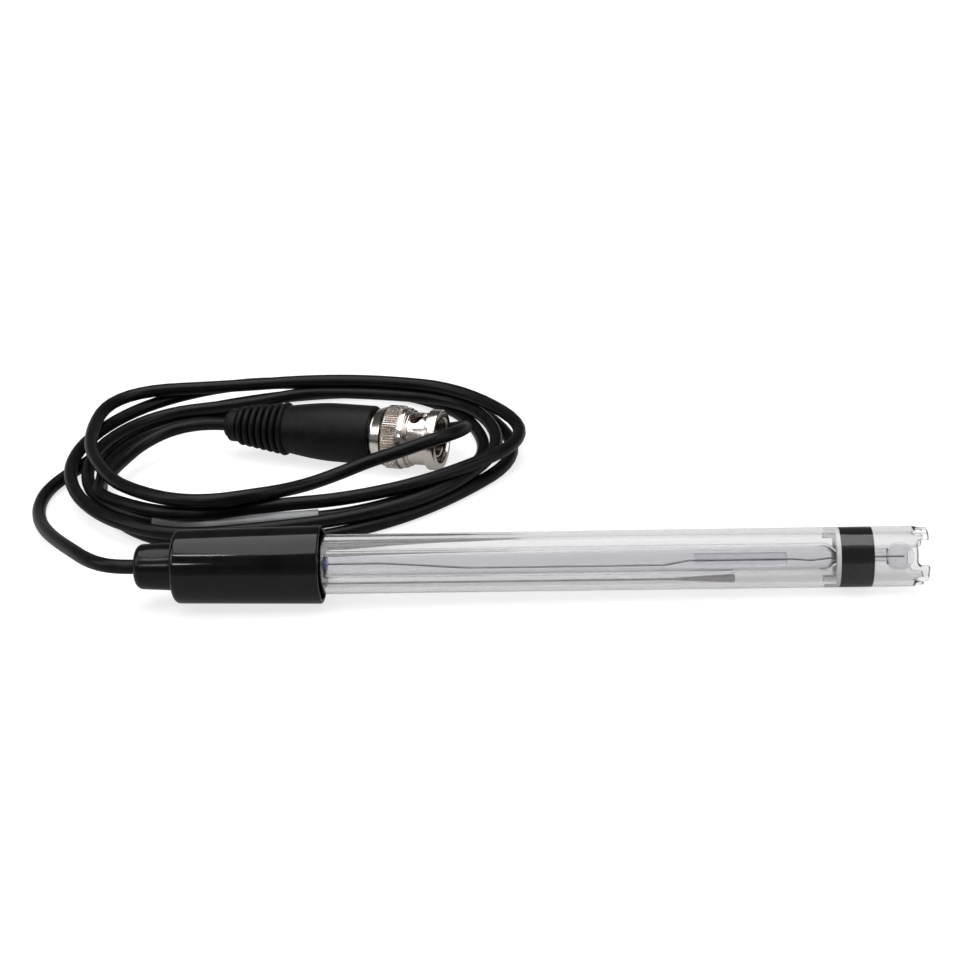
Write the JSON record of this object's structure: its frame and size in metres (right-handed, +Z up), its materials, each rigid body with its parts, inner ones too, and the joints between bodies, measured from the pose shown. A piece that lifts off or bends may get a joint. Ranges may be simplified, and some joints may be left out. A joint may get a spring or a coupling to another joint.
{
  "type": "combination ph electrode",
  "caption": "Clear-shafted combination pH electrode with a blown glass bulb behind a castellated guard, a moulded cap, a coiled coaxial cable and a bayonet plug.",
  "frame": {"origin": "on the surface that the electrode lies on, under the middle of the electrode's own box, cable and plug apart", "axes": "+X along the electrode from its cable end to its bulb, +Y towards the coiled cable, +Z up"},
  "size_m": [0.1919, 0.108, 0.016],
  "materials": {
    "cap_plastic": "gloss",
    "black_rubber": "satin",
    "boot_plastic": "satin",
    "cable_jacket": "satin",
    "cable_core": "satin",
    "clear_plastic": "clear",
    "blown_glass": "clear",
    "potting_resin": "gloss",
    "blue_sleeving": "gloss",
    "silver_wire": "drawn",
    "coated_silver": "rough",
    "keeper_plastic": "satin",
    "porous_ceramic": "rough",
    "nickel_plate": "polished",
    "spring_steel": "satin",
    "white_insulator": "satin",
    "gold_plate": "polished",
    "silicone_gasket": "satin",
    "clear_label": "gloss"
  },
  "bodies": {
    "root": {"cap_shell": "cap_plastic", "strain_relief": "black_rubber", "cap_cable_end": "cable_core", "potting_plug": "potting_resin", "body_tube": "clear_plastic", "top_stopper": "black_rubber", "lead_sleeve": "blue_sleeving", "glass_stem": "blown_glass", "measuring_wire": "silver_wire", "element_sleeve": "blown_glass", "reference_wire": "silver_wire", "reference_element": "coated_silver", "keeper_ring": "keeper_plastic", "seal_plug": "black_rubber", "junction_pin": "porous_ceramic", "plug_boot": "boot_plastic", "plug_cable_end": "cable_core", "crimp_ferrule": "nickel_plate", "plug_body": "nickel_plate", "insulator": "white_insulator", "centre_pin": "gold_plate", "outer_contact": "nickel_plate", "gasket": "silicone_gasket", "retaining_ring": "spring_steel", "spring_washer": "spring_steel", "cord_lead": "cable_jacket", "cord_crossing": "cable_jacket", "cord_tail": "cable_jacket", "cord_coil": "cable_jacket", "cable_label": "clear_label"},
    "thrust": {"thrust_washer": "spring_steel"},
    "coupling": {"coupling_sleeve": "nickel_plate"}
  },
  "joints": [
    {"name": "coupling_pull", "type": "slide", "parent": "root", "child": "thrust", "axis": [0.9711, -0.2385, 0], "range_m": [0, 0.0008], "stiffness_N_per_m": 1500, "deforming": ["spring_washer"]},
    {"name": "coupling_turn", "type": "hinge", "parent": "thrust", "child": "coupling", "pos_m": [-0.02666, 0.05989, 0.00735], "axis": [0.9711, -0.2385, 0], "continuous": true}
  ]
}
